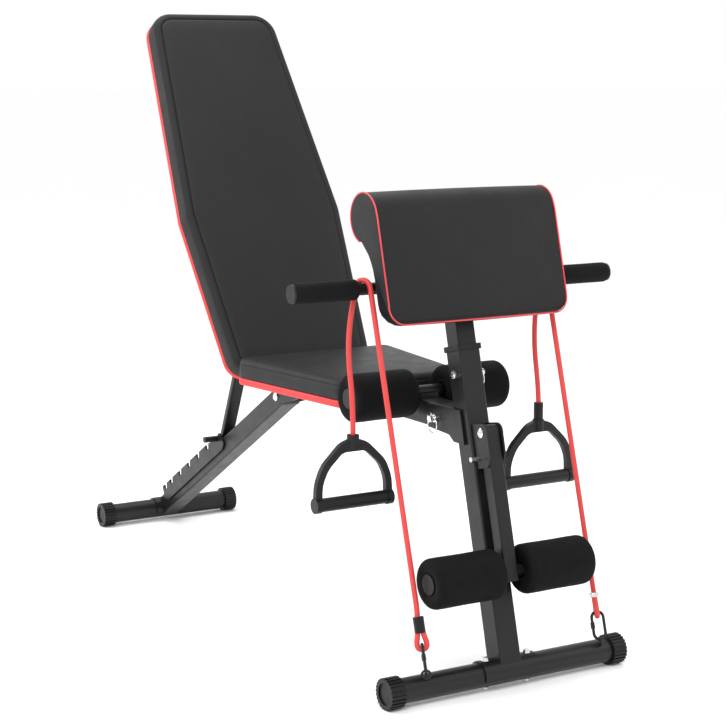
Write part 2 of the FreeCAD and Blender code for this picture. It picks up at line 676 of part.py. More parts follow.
def bent_path(points, radii):
    """Straight runs joined by arcs. An arc with no radius given is as large as its two runs allow."""
    edges = []
    used = []
    last = points[0]
    for i in range(1, len(points) - 1):
        back_way = (points[i - 1] - points[i]).normalize()
        next_way = (points[i + 1] - points[i]).normalize()
        half_turn = (math.pi - back_way.getAngle(next_way)) / 2
        shorter = min((points[i - 1] - points[i]).Length, (points[i + 1] - points[i]).Length)
        size = radii.get(i, 0.45 * shorter / math.tan(half_turn))
        start = points[i] + back_way * (size * math.tan(half_turn))
        end = points[i] + next_way * (size * math.tan(half_turn))
        middle = (back_way + next_way).normalize()
        mid = points[i] + middle * (size / math.cos(half_turn) - size)
        edges.append(Part.LineSegment(last, start).toShape())
        edges.append(Part.Arc(start, mid, end).toShape())
        used.append(round(size, 1))
        last = end
    edges.append(Part.LineSegment(last, points[-1]).toShape())
    return Part.Wire(edges), used


def swept(wire, r):
    first = wire.Edges[0]
    start = first.valueAt(first.FirstParameter)
    aim = first.tangentAt(first.FirstParameter)
    section = Part.Wire(Part.Circle(start, aim, r).toShape())
    return wire.makePipeShell([section], True, False)


def cord_tube(name, points, radii):
    wire, used = bent_path(points, radii)
    r = rope_d / 2
    tube = swept(wire, r)
    ratio = tube.Volume / (math.pi * r * r * wire.Length)
    print(name, "length", round(wire.Length, 1), "radii", used, "volume ratio", round(ratio, 4))
    return tube


def rope_anchor(eye, top, spin, crimp_low, crimp_high, crimp_r):
    """Eye, carabiner, rope loop and crimp in one line with the rope that pulls on them."""
    foot = V(eye[0], eye[1], eye[2])
    aim = (top - foot).normalize()
    rot = FreeCAD.Rotation(Z, aim).multiply(FreeCAD.Rotation(Z, spin))
    place = FreeCAD.Placement(foot, rot).toMatrix()
    r = clip_w / 2 - clip_rod / 2
    high = clip_len - clip_rod
    link = [rod(V(0, -r, r), V(0, -r, high - r), clip_rod / 2), rod(V(0, r, r), V(0, r, high - r), clip_rod / 2)]
    link.append(ring(V(0, 0, r), X, r, clip_rod / 2).common(box(-20, 20, -20, 20, -20, r)))
    link.append(ring(V(0, 0, high - r), X, r, clip_rod / 2).common(box(-20, 20, -20, 20, high - r, high + 20)))
    link.append(rod(V(0, r, r + 9), V(0, r, r + 19), clip_rod / 2 + 1.1))
    clip = link[0].fuse(link[1:]).removeSplitter()
    around = clip_rod / 2 + rope_d / 2 + rope_gap
    leg_x = rope_d / 2 + 0.3
    rise = crimp_low - high
    reach = math.hypot(leg_x, rise)
    touch = math.atan2(rise, leg_x) - math.acos(around / reach)
    right = V(around * math.cos(touch), 0, high + around * math.sin(touch))
    left = V(-right.x, 0, right.z)
    stretch = (V(leg_x, 0, crimp_low) - right).normalize() * 1.5
    first = V(leg_x, 0, crimp_low) + stretch
    wire = Part.Wire([Part.LineSegment(first, right).toShape(),
                      Part.Arc(right, V(0, 0, high - around), left).toShape(),
                      Part.LineSegment(left, V(-first.x, 0, first.z)).toShape()])
    crimp = rod(V(0, 0, crimp_low), V(0, 0, crimp_high), crimp_r)
    loop = swept(wire, rope_d / 2).cut(box(-30, 30, -30, 30, crimp_low, crimp_low + 20))
    bore = 4.9
    eye_ring = ring(foot - V(0, 0, bore - clip_rod / 2 - 0.2), V(0, 1, 0), bore + 1.9, 1.9)
    eye_ring = turned(eye_ring, spin, foot, Z)
    stem = rod(V(eye[0], eye[1] * 0.8, foot_z + 12), V(eye[0], eye[1], eye[2] - 9.0), 2.4)
    eye_ring = eye_ring.fuse(stem).cut(rod_x(-400, 400, 0, foot_z, foot_d / 2)).removeSplitter()
    made = [s.transformGeometry(place) for s in (clip, loop, crimp)]
    return made + [eye_ring, foot + aim * crimp_high]


def d_handle(name, spec, y):
    """A D handle: an arch with a hub for the rope, a core rod, and a grip that turns on it."""
    outer = [(-71, 0, 0), (-69.5, 34, 70), (-58, 63, 55), (-24, 96, 36), (-9, 101, 0), (9, 101, 0), (24, 96, 36),
             (58, 63, 55), (69.5, 34, 70), (71, 0, 0)]
    inner = [(-59, -1, 0), (-58, 34, 60), (-47, 57, 45), (-21, 82, 20), (21, 82, 20), (47, 57, 45), (58, 34, 60),
             (59, -1, 0)]
    half = handle_w / 2
    arch = plate_y(outer, -5, 5).cut(plate_y(inner, -9, 9))
    hub = Part.makeCylinder(10.0, spec[2] - 84.0, V(0, 0, 84.0), Z)
    bosses = [rod_x(-half, -half + 10, 0, 0, 12.5), rod_x(half - 10, half, 0, 0, 12.5)]
    core = rod_x(-half + 1, half - 1, 0, 0, 4.0)
    arch = arch.cut(rod_x(-half + 10, half - 10, 0, 0, handle_grip_d / 2 + gap))
    body = arch.fuse([hub, core] + bosses).removeSplitter()
    keep("d_handle_" + name, moved(body, x=spec[0], y=y, z=spec[1]))
    grip = rod_x(-half + 10 + gap, half - 10 - gap, 0, 0, handle_grip_d / 2)
    grip = grip.cut(rod_x(-half, half, 0, 0, 4.0 + run_fit))
    keep("handle_grip_" + name, moved(grip, x=spec[0], y=y, z=spec[1]))


def ropes(bar):
    """Both elastic ropes: looped on a carabiner, up the front, over the bar and down to a handle."""
    wrap = bar_d / 2 + rope_d / 2 + rope_gap
    back_y = bar.y + wrap
    clips = []
    crimps = []
    eyes = []
    for name, side, eye, spin in (("left", -1, left_eye, -30.0), ("right", 1, right_eye, 60.0)):
        foot = V(eye[0], eye[1], eye[2])
        flat = V(0, bar.y - eye[1], bar.z - eye[2])
        tilt = math.atan2(flat.y, flat.z) - math.asin(wrap / flat.Length)
        top = V(side * rope_bar_x, bar.y - wrap * math.cos(tilt), bar.z + wrap * math.sin(tilt))
        low, high, r = (63.0, 88.2, 8.6) if side < 0 else (69.0, 76.5, 8.9)
        clip, loop, crimp, eye_ring, start = rope_anchor(eye, top, spin, low, high, r)
        clips.append(clip)
        crimps.append(crimp)
        eyes.append(eye_ring)
        strand = rod(start, top, rope_d / 2)
        keep("rope_front_" + name, group([loop, strand]))
        print("front strand", name, "length", round((top - start).Length, 1))
        aim = (top - start).normalize()
        half_turn = (math.pi - tilt) / 4
        past = wrap * math.tan(half_turn)
        corner = top + aim * past + V(side * 1.5, 0, 0)
        over = V(side * 178.5, back_y, bar.z + past)
        if side < 0:
            end = V(left_handle[0], back_y, left_handle[1] + left_handle[2])
            hang = [(-183.0, 614.0), (-189.5, 583.0), (-193.0, 543.0), (-190.8, 503.0), (-186.8, 468.0),
                    (-184.9, 433.0)]
        else:
            end = V(right_handle[0], back_y, right_handle[1] + right_handle[2] + 29.0)
            hang = [(175.8, 617.0), (171.4, 590.0), (168.3, 561.0), (167.6, 530.0), (169.6, 499.0),
                    (173.4, 471.0), (176.8, 443.5)]
        points = [top, corner, over] + [V(x, back_y, z) for x, z in hang] + [end]
        tube = cord_tube("rear strand " + name, points, {1: wrap - 0.6, 2: wrap - 0.6})
        keep("rope_rear_" + name, tube.cut(strand))
    keep("carabiners", group(clips))
    keep("rope_crimps", group(crimps))
    nodes["front_stabiliser"] = nodes["front_stabiliser"].fuse(eyes)
    low = right_handle[1] + right_handle[2]
    keep("handle_ferrule", Part.makeCylinder(8.0, 29.0, V(right_handle[0], back_y, low), Z))
    d_handle("left", left_handle, back_y)
    d_handle("right", right_handle, back_y)


def overall(shapes):
    total = FreeCAD.BoundBox()
    for shape in shapes:
        total.add(shape.optimalBoundingBox(False, False))
    return total


def build():
    """Every node, moved so that the origin is on the floor under the middle of the whole bench."""
    stabilisers()
    front_end()
    front_bracket()
    fold_hardware()
    main_frame()
    roller_pair("upper", upper_gap, upper_y, beam_z + beam / 2 + shaft_d / 2)
    seat()
    strut_top = backrest()
    foot, length = rear_leg(strut_top)
    shaft = leg_extension()
    roller_pair("lower", lower_gap, shaft.y, shaft.z)
    bar = preacher()
    ropes(bar)
    total = overall(nodes.values())
    shift = -(total.YMin + total.YMax) / 2
    for name in nodes:
        nodes[name] = moved(nodes[name], y=shift)
    print("strut length", round(length, 1), "shift", round(shift, 2), "size", round(total.XLength, 1),
          round(total.YLength, 1), round(total.ZLength, 1), "low", round(total.ZMin, 3))
    points = {
        "recline": rest_point(0, hinge_s, hinge_h), "strut": strut_top, "rod": foot,
        "fold": V(0, fold_y, fold_z), "leg": V(0, leg_pivot_y, leg_pivot_z),
        "arm": lean_point(0, -arm_off, arm_pivot_t), "lower": shaft, "bar": bar,
        "upper": V(0, upper_y, beam_z + beam / 2 + shaft_d / 2),
        "left_grip": V(left_handle[0], bar.y + bar_d / 2 + rope_d / 2 + rope_gap, left_handle[1]),
        "right_grip": V(right_handle[0], bar.y + bar_d / 2 + rope_d / 2 + rope_gap, right_handle[1])}
    return {name: p + V(0, shift, 0) for name, p in points.items()}


places = build()
os.makedirs("parts", exist_ok=True)
for node in nodes:
    nodes[node].exportStep("parts/" + node + ".step")
print(len(nodes), "nodes")
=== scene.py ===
import bpy, bmesh, json, math
from mathutils import Vector, Matrix


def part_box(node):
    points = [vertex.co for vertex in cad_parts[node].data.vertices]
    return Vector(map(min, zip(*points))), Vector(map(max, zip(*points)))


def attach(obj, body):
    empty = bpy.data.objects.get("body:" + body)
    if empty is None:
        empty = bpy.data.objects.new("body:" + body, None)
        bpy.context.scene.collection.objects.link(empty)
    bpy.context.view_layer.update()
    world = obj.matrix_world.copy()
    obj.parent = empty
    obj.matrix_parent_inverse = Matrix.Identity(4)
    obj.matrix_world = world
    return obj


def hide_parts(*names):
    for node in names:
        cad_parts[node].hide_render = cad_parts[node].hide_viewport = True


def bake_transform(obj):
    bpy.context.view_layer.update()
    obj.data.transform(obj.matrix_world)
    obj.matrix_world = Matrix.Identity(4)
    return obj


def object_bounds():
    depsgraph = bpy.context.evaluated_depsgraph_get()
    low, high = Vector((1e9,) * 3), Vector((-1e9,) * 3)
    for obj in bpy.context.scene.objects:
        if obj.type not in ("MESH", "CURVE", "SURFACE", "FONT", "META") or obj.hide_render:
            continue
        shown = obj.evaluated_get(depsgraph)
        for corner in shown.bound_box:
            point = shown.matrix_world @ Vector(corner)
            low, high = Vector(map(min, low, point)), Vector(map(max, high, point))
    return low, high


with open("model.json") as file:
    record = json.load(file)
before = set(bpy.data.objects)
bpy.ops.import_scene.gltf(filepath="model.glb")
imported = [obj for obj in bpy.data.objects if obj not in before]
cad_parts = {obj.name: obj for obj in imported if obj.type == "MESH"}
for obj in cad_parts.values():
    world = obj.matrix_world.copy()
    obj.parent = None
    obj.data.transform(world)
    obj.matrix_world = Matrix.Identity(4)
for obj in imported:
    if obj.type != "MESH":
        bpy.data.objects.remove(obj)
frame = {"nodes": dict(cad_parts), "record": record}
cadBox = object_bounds()
joints = {j["name"]: j for j in frame["record"]["behaviour"]["joints"]}
print("frame loaded:", len(frame["nodes"]), "nodes")


class Wire:  # a node socket that can be used in sums
    def __init__(self, tree, socket):
        self.tree, self.socket = tree, socket

    def sum(self, operation, first, second=None):
        node = self.tree.nodes.new("ShaderNodeMath")
        node.operation = operation
        for slot, value in zip(node.inputs, (first, second)):
            if isinstance(value, Wire):
                self.tree.links.new(value.socket, slot)
            elif value is not None:
                slot.default_value = value
        return Wire(self.tree, node.outputs[0])

    def __add__(self, other): return self.sum("ADD", self, other)
    def __radd__(self, other): return self.sum("ADD", other, self)
    def __sub__(self, other): return self.sum("SUBTRACT", self, other)
    def __rsub__(self, other): return self.sum("SUBTRACT", other, self)
    def __mul__(self, other): return self.sum("MULTIPLY", self, other)
    def __rmul__(self, other): return self.sum("MULTIPLY", other, self)
    def sine(self): return self.sum("SINE", self)
    def top(self, other): return self.sum("MAXIMUM", self, other)
    def size(self): return self.sum("ABSOLUTE", self)


class Finish:  # one material and its nodes
    def __init__(self, name, **shader):
        self.material = bpy.data.materials.new(name)
        self.material.use_nodes = True
        self.tree = self.material.node_tree
        self.shader = self.tree.nodes["Principled BSDF"]
        for key, value in shader.items():
            self.shader.inputs[key.replace("_", " ")].default_value = value

    def node(self, kind, settings=None, out=0, **sockets):
        made = self.tree.nodes.new("ShaderNode" + kind)
        for key, value in (settings or {}).items():
            setattr(made, key, value)
        for key, value in sockets.items():  # i3 is the fourth input, any other word is an input's name
            byNumber = key[0] == "i" and key[1:].isdigit()
            slot = made.inputs[int(key[1:])] if byNumber else made.inputs[key.replace("_", " ")]
            if isinstance(value, Wire):
                self.tree.links.new(value.socket, slot)
            else:
                slot.default_value = value
        return Wire(self.tree, made.outputs[out])

    def feed(self, key, value):
        self.tree.links.new(value.socket, self.shader.inputs[key])

    def place(self):
        return self.node("TexCoord", out=3)  # object space, in metres

    def noise(self, scale, detail=3.0):
        return self.node("TexNoise", Vector=self.place(), Scale=scale, Detail=detail, Roughness=0.55)

    def between(self, mask, low, high):
        return self.node("MapRange", Value=mask, i1=0.3, i2=0.7, i3=low, i4=high)

    def tint(self, mask, first, second):
        return self.node("Mix", {"data_type": "RGBA"}, out=2, i0=mask, i6=(*first, 1), i7=(*second, 1))

    def bump(self, height, distance, strength=1.0):
        self.feed("Normal", self.node("Bump", Height=height, Distance=distance, Strength=strength))


def powderCoat(name, tone, rough):
    f = Finish(name, IOR=1.5, Specular_IOR_Level=0.32)
    cloud = f.noise(9.0, 4.0)
    f.feed("Base Color", f.tint(cloud, [c * 0.86 for c in tone], [c * 1.16 for c in tone]))
    f.feed("Roughness", f.between(f.noise(38.0, 4.0), rough - 0.05, rough + 0.07))
    f.bump(f.noise(1500.0, 2.0) * 0.7 + f.noise(420.0, 2.0) * 0.5, 0.00006)
    return f.material


def plated(name, tone, rough):
    f = Finish(name, Metallic=1.0)
    f.feed("Base Color", f.tint(f.noise(120.0), tone, [c * 0.86 for c in tone]))
    f.feed("Roughness", f.between(f.noise(300.0, 4.0), rough - 0.06, rough + 0.1))
    f.bump(f.noise(900.0, 3.0), 0.00004)
    return f.material


def vinyl(name, tone, rough, grain=1.0):
    f = Finish(name, IOR=1.47, Specular_IOR_Level=0.26)
    cloud = f.noise(5.0, 5.0)
    dark, light = [c * 0.88 for c in tone], [c * 1.14 for c in tone]
    f.feed("Base Color", f.tint(f.between(cloud, 0.0, 1.0), dark, light))
    f.feed("Roughness", f.between(f.noise(26.0, 5.0), rough - 0.05, rough + 0.07))
    cells = f.node("TexVoronoi", {"feature": "DISTANCE_TO_EDGE"}, Vector=f.place(), Scale=620.0)
    creases = f.node("MapRange", Value=cells, i1=0.0, i2=0.22, i3=0.0, i4=1.0)
    f.bump(creases * (0.6 * grain) + f.noise(260.0, 4.0) * (0.9 * grain) + f.noise(28.0, 3.0) * 2.2, 0.00016)
    return f.material


def foam(name, tone, rough):
    f = Finish(name, IOR=1.4, Specular_IOR_Level=0.15)
    skin = f.noise(1400.0, 2.0)
    f.feed("Base Color", f.tint(f.noise(16.0, 5.0), [c * 0.8 for c in tone], [c * 1.25 for c in tone]))
    f.feed("Roughness", f.between(f.noise(60.0, 3.0), rough - 0.06, rough + 0.06))
    f.bump(skin * 0.8 + f.noise(330.0, 3.0) * 0.9 + f.noise(45.0, 3.0) * 1.3, 0.00022)
    return f.material


def plastic(name, tone, rough):
    f = Finish(name, IOR=1.48, Specular_IOR_Level=0.3)
    f.feed("Base Color", f.tint(f.noise(20.0, 4.0), [c * 0.88 for c in tone], [c * 1.15 for c in tone]))
    f.feed("Roughness", f.between(f.noise(80.0, 4.0), rough - 0.05, rough + 0.06))
    f.bump(f.noise(1100.0, 2.0) + f.noise(240.0, 3.0) * 0.6, 0.00005)
    return f.material


def cloth(name, tone):
    f = Finish(name, Roughness=0.95)
    f.feed("Base Color", f.tint(f.noise(900.0, 3.0), [c * 0.7 for c in tone], [c * 1.4 for c in tone]))
    f.bump(f.noise(1200.0, 4.0), 0.0002)
    return f.material


def braid(name, tone, dark):
    strandPitch, strands = 0.0062, 4  # u is metres along the rope, v goes once round it
    f = Finish(name, Roughness=0.55)
    uv = f.node("TexCoord", out=2)
    parts = f.node("SeparateXYZ", Vector=uv)
    around = Wire(f.tree, parts.socket.node.outputs[1])
    along = parts * (2 * math.pi / strandPitch)
    turn = around * (2 * math.pi * strands)
    one = (along + turn).sine().size()
    two = (along - turn).sine().size()
    weave = one.top(two)
    fleck = f.noise(700.0, 3.0)
    # painted shade: the colour darkens in the grooves between the strands, mixed with random darker and lighter
    # flecks
    grooveShadeAndFleck = f.node("MapRange", Value=weave * 0.7 + fleck * 0.3, i1=0.45, i2=0.85, i3=0.0, i4=1.0)
    f.feed("Base Color", f.tint(grooveShadeAndFleck, dark, tone))
    f.feed("Roughness", f.between(fleck, 0.48, 0.62))
    f.bump(weave, 0.00035, 0.8)
    return f.material


finishes = {
    "frame": powderCoat("blackPowderCoat", (0.0068, 0.0071, 0.0078), 0.34),
    "zinc": plated("brightZinc", (0.78, 0.78, 0.76), 0.24),
    "vinyl": vinyl("charcoalVinyl", (0.0085, 0.0088, 0.0095), 0.50),
    "seatVinyl": vinyl("charcoalSeatVinyl", (0.0095, 0.0098, 0.0105), 0.44),
    "red": vinyl("redVinyl", (0.72, 0.045, 0.045), 0.42, 0.5),
    "piping": vinyl("redPiping", (0.62, 0.06, 0.07), 0.38, 0.3),
    "cloth": cloth("blackBackingCloth", (0.016, 0.016, 0.017)),
    "foam": foam("blackFoam", (0.0042, 0.0042, 0.0044), 0.75),
    "grip": foam("gripFoam", (0.0055, 0.0055, 0.006), 0.75),
    # the rope's second colour is the painted shade in the braid's grooves and its darker flecks
    "rope": braid("redBraid", (0.74, 0.055, 0.05), (0.28, 0.012, 0.012)),
    "cap": plastic("ribbedCapPlastic", (0.0042, 0.0042, 0.0046), 0.42),
    "handle": plastic("handlePlastic", (0.006, 0.006, 0.0065), 0.40),
    "hook": powderCoat("blackHook", (0.007, 0.007, 0.008), 0.32),
}
print("finishes made:", len(finishes))

carried = {
    "frame": ["front_post", "front_stabiliser", "front_bracket", "main_beam", "rear_bracket", "seat_wings",
              "upper_roller_shaft", "backrest_frame", "rear_leg_tube", "rack_plates", "rear_stabiliser",
              "backrest_strut", "arm_bracket", "leg_arm", "lower_roller_shaft", "preacher_post", "pad_plate",
              "handlebar"],
    "zinc": ["front_foot_bolts", "front_fold_bolt", "front_lock_pin", "height_lock_pin", "leg_pivot_bolt",
             "leg_lock_pin", "seat_bolts", "backrest_hinge_bolt", "strut_bolt", "backrest_screws",
             "arm_pivot_bolt", "arm_stop_pin"],
    "cloth": ["seat_board", "backrest_board"],
    "cap": ["front_foot_caps", "rear_foot_caps", "post_collar", "upper_roller_caps", "lower_roller_caps",
            "bar_end_plugs", "handle_ferrule"],
    "hook": ["carabiners"],
    "handle": ["d_handle_left", "d_handle_right", "handle_grip_left", "handle_grip_right"],
}
for key, names in carried.items():
    for name in names:
        node = frame["nodes"][name]
        node.data.materials.clear()
        node.data.materials.append(finishes[key])


def addMesh(name, points, faces, finish, body, smooth=35.0):
    data = bpy.data.meshes.new(name)
    data.from_pydata([tuple(p) for p in points], [], faces)
    data.validate()
    tidy = bmesh.new()
    tidy.from_mesh(data)
    bmesh.ops.recalc_face_normals(tidy, faces=tidy.faces)
    tidy.to_mesh(data)
    tidy.free()
    data.polygons.foreach_set("use_smooth", [True] * len(data.polygons))
    data.set_sharp_from_angle(angle=math.radians(smooth))
    piece = bpy.data.objects.new(name, data)
    bpy.context.scene.collection.objects.link(piece)
    data.materials.append(finishes[finish])
    if body:
        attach(piece, body)
    return piece


def rounded(corners, step=0.006):  # outline of (x, y, radius) corners as close points, anticlockwise
    path = []
    count = len(corners)
    for i, (x, y, r) in enumerate(corners):
        here = Vector((x, y))
        back = (Vector(corners[i - 1][:2]) - here).normalized()
        ahead = (Vector(corners[(i + 1) % count][:2]) - here).normalized()
        half = back.angle(ahead) / 2
        centre = here + (back + ahead).normalized() * (r / math.sin(half))
        start = here + back * (r / math.tan(half)) - centre
        sweep = math.pi - 2 * half
        turns = max(3, int(sweep * r / step) + 2)
        side = 1 if back.cross(ahead) < 0 else -1
        for k in range(turns + 1):
            a = side * sweep * k / turns
            path.append(centre + Vector((start.x * math.cos(a) - start.y * math.sin(a),
                                         start.x * math.sin(a) + start.y * math.cos(a))))
    even = []
    for i, p in enumerate(path):
        q = path[(i + 1) % len(path)]
        cuts = max(1, int((q - p).length / (step * 2.2)))
        even += [p.lerp(q, k / cuts) for k in range(cuts)]
    return even


def insetLine(line, distance):
    out = []
    count = len(line)
    for i, p in enumerate(line):
        along = (line[(i + 1) % count] - line[i - 1]).normalized()
        out.append(p + Vector((-along.y, along.x)) * distance)
    return out


def stitched(rings, closedEnds=True):
    # faces between rings of equally many points; the first and last ring may be filled
    count = len(rings[0])
    points = [p for ring in rings for p in ring]
    faces = []
    for a in range(len(rings) - 1):
        for i in range(count):
            j = (i + 1) % count
            faces.append((a * count + i, a * count + j, (a + 1) * count + j, (a + 1) * count + i))
    if closedEnds:
        faces.append(tuple(range(count)))
        faces.append(tuple(reversed(range((len(rings) - 1) * count, len(rings) * count))))
    return points, faces


def centreLine(name, points, step=0.0018):  # even points along a smooth curve of given control points
    curve = bpy.data.curves.new(name, "CURVE")
    curve.dimensions = "3D"
    spline = curve.splines.new("NURBS")
    spline.points.add(len(points) - 1)
    for slot, p in zip(spline.points, points):
        slot.co = (*p, 1.0)
    spline.order_u = 3
    spline.use_endpoint_u = True
    spline.resolution_u = 14
    holder = bpy.data.objects.new(name, curve)
    data = bpy.data.meshes.new_from_object(holder)
    raw = [v.co.copy() for v in data.vertices]
    bpy.data.objects.remove(holder)
    line = [raw[0]]
    for p in raw[1:]:
        gap = (p - line[-1]).length
        if gap > 1e-5:
            cuts = max(1, int(gap / step))
            line += [line[-1].lerp(p, k / cuts) for k in range(1, cuts + 1)]
    return line


def tube(name, line, radius, finish, body, sides=14):
    # a round tube along a line, with u in metres along it and v once round it
    count = len(line)
    rings, run = [], [0.0]
    aim = (line[1] - line[0]).normalized()
    across = aim.orthogonal().normalized()
    for i, p in enumerate(line):
        now = (line[min(i + 1, count - 1)] - line[max(i - 1, 0)]).normalized()
        across = (across - now * across.dot(now)).normalized()
        other = now.cross(across)
        rings.append([p + (across * math.cos(a) + other * math.sin(a)) * radius
                      for a in (2 * math.pi * k / sides for k in range(sides))])
        if i:
            run.append(run[-1] + (p - line[i - 1]).length)
    points, faces = stitched(rings)
    piece = addMesh(name, points, faces, finish, body, smooth=70.0)
    layer = piece.data.uv_layers.new(name="rope")
    for face in piece.data.polygons:
        around = [piece.data.loops[i].vertex_index % sides for i in face.loop_indices]
        for loop, k in zip(face.loop_indices, around):
            turn = k / sides
            if max(around) - min(around) > sides / 2 and k == 0:
                turn = 1.0
            layer.data[loop].uv = (run[piece.data.loops[loop].vertex_index // sides], turn)
    return piece


def revolved(name, profile, centre, axis, finish, body, sides=56, smooth=40.0):
    # turn (along, radius) points round an axis through centre; the ends stay open at a bore
    out = Vector(axis).orthogonal().normalized()
    up = Vector(axis).cross(out)
    rings = [[centre + Vector(axis) * along + (out * math.cos(a) + up * math.sin(a)) * radius
              for a in (2 * math.pi * k / sides for k in range(sides))] for along, radius in profile]
    points, faces = stitched(rings, False)
    return addMesh(name, points, faces, finish, body, smooth)


# the frames that the pads and the post are laid out in
capRadius = 0.0252
capLow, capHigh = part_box("front_foot_caps")
foot = Vector((0.0, (capLow[1] + capHigh[1]) / 2, capHigh[2] - capRadius))
slideAxis = Vector(joints["preacher_height"]["axis"])
leanAngle = math.atan2(slideAxis.y, slideAxis.z)


def leaned(x, d, t):  # x across, d behind the post's line, t up along it
    return foot + Vector((x, d * math.cos(leanAngle) + t * math.sin(leanAngle),
                          t * math.cos(leanAngle) - d * math.sin(leanAngle)))


restTilt = math.radians(60.0)
hinge = Vector(joints["backrest_recline"]["pos_m"])
restSpan = Vector((0, math.cos(restTilt), math.sin(restTilt)))
restOut = Vector((0, -math.sin(restTilt), math.cos(restTilt)))
hingeBelow, hingeBehind = 0.0305, 0.0592  # from the corner that the backrest is measured from
restStart = Vector((0, hinge.y, hinge.z)) + restSpan * hingeBelow + restOut * hingeBehind


def rest(x, s, h):  # x across, s up the backrest, h out of its face
    return restStart + Vector((x, 0, 0)) + restSpan * s + restOut * h


backrest = {
    "corners": [(-0.143, -0.035, 0.034), (0.143, -0.035, 0.034), (0.165, 0.285, 0.06), (0.131, 0.720, 0.044),
                (-0.131, 0.720, 0.044), (-0.165, 0.285, 0.06)],
    "side": [(0.0092, -0.0352), (0.002, -0.0352), (0.0004, -0.0345), (0.0, -0.033), (-0.0002, -0.022),
             (0.0, -0.012), (0.0006, -0.0078), (0.002, -0.0045), (0.0045, -0.0022), (0.008, -0.0011),
             (0.0118, -0.0007), (0.0136, -0.0010), (0.0146, -0.0024), (0.0154, -0.0024), (0.0164, -0.0008),
             (0.0182, 0.0002), (0.021, 0.0010)],
    "crown": 0.0045,
    "band": [(0.0005, -0.0348), (-0.0007, -0.0365), (-0.0012, -0.040), (-0.0007, -0.0432), (0.0012, -0.0452),
             (0.004, -0.0452), (0.0062, -0.0438), (0.0085, -0.0430), (0.0140, -0.0427), (0.0145, -0.0419),
             (0.0070, -0.0417), (0.0045, -0.0400), (0.0045, -0.0350)],
}


def cushion(name, corners, side, crown, place, finish, body, lift=None):
    # a padded cushion: the rounded side, a stitched groove, then a face that swells to its middle
    outline = rounded(corners)
    middle = sum(outline, Vector((0, 0))) / len(outline)
    rings = []
    for inset, height in side:
        rings.append([(p, height) for p in insetLine(outline, inset)])
    edge, high = [p for p, h in rings[-1]], side[-1][1]
    faceRings = 15
    for k in range(1, faceRings):
        share = 1 - k / faceRings
        rise = crown * (1 - share ** 3)
        rings.append([(middle + (p - middle) * share, high + rise) for p in edge])
    laid = []
    for ring in rings:
        laid.append([place(p.x, p.y, lift(p, h) if lift else h) for p, h in ring])
    points, faces = stitched(laid)
    piece = addMesh(name, points, faces, finish, body, smooth=50.0)
    return piece


def edging(name, corners, section, place, body):
    outline = rounded(corners)
    rings = [[place(p.x, p.y, h) for p in insetLine(outline, inset)] for inset, h in section]
    points, faces = stitched(rings + [rings[0]], False)
    return addMesh(name, points, faces, "red", body, smooth=50.0)


backPad = cushion("backrestPad", backrest["corners"], backrest["side"], backrest["crown"], rest, "vinyl",
                  "backrest")
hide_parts("backrest_pad")
backBand = edging("backrestEdge", backrest["corners"], backrest["band"], rest, "backrest")
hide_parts("backrest_band")

seatLow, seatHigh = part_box("seat_pad")
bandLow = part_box("seat_band")[0]
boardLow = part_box("seat_board")[0]
seatFront, seatRear = seatLow[1], seatHigh[1]
seatBase = bandLow[2]
seat = {
    "corners": [(-0.120, seatFront, 0.030), (0.120, seatFront, 0.030), (0.160, seatRear - 0.012, 0.016),
                (0.146, seatRear, 0.020), (-0.146, seatRear, 0.020), (-0.160, seatRear - 0.012, 0.016)],
    "side": [(0.0100, 0.0119), (0.003, 0.0119), (0.0008, 0.0128), (0.0, 0.0145), (-0.0003, 0.024),
             (0.0, 0.0345), (0.0006, 0.0362), (0.0016, 0.0370), (0.0010, 0.0379), (0.0012, 0.0398),
             (0.0024, 0.0434),
             (0.0050, 0.0462), (0.0088, 0.0480), (0.0135, 0.0488), (0.020, 0.0492)],
    "crown": 0.0028,
    "band": [(0.0008, 0.0120), (-0.0008, 0.0104), (-0.0013, 0.0060), (-0.0009, 0.0018), (0.0008, 0.0),
             (0.0050, -0.0006), (0.0120, -0.0004), (0.0125, 0.0010), (0.0050, 0.0018), (0.0048, 0.0120)],
}
beamTop = boardLow[2] + 0.0006


def overBeam(p, height):  # the pad's lower edge rises over the beam that passes under it
    near = min(1.0, max(0.0, (0.034 - abs(p.x)) / 0.010))
    clear = beamTop - seatBase
    return height if height > clear else height + (clear - height) * near * near * (3 - 2 * near)


def onSeat(x, y, h):
    return Vector((x, y, seatBase + h))


seatPad = cushion("seatPad", seat["corners"], seat["side"], seat["crown"], onSeat, "seatVinyl", "frame",
                  overBeam)
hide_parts("seat_pad")
seatBand = edging("seatEdge", seat["corners"], seat["band"], onSeat, "frame")
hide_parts("seat_band")
print("backrest and seat made")

preacher = {
    "half": 0.170, "corner": 0.028, "low": 0.557, "face": -0.068, "roll": (-0.028, 0.7336),
    "rollRadius": 0.0402, "trimRadius": 0.0400, "trim": 0.0013,
    "back": [(-0.011, 0.6985), (-0.0185, 0.687), (-0.0262, 0.676), (-0.0310, 0.664), (-0.0345, 0.650),
             (-0.036, 0.636), (-0.036, 0.612), (-0.036, 0.596), (-0.0372, 0.587), (-0.0405, 0.577),
             (-0.0455, 0.5660), (-0.0505, 0.5600), (-0.0560, 0.5578), (-0.0610, 0.5592), (-0.0652, 0.5630),
             (-0.0674, 0.5690), (-0.0684, 0.5780)],
    "faceSteps": [0.592, 0.615, 0.640, 0.665, 0.690, 0.712],
}
rollD, rollT = preacher["roll"]
profile = []
for k in range(23):  # over the roll from the face to the neck behind
    a = math.radians(180 - k * 10.8)
    profile.append((rollD + preacher["rollRadius"] * math.cos(a), rollT + preacher["rollRadius"] * math.sin(a)))
profile += preacher["back"]
profile += [(preacher["face"] - 0.0012, t) for t in preacher["faceSteps"]]


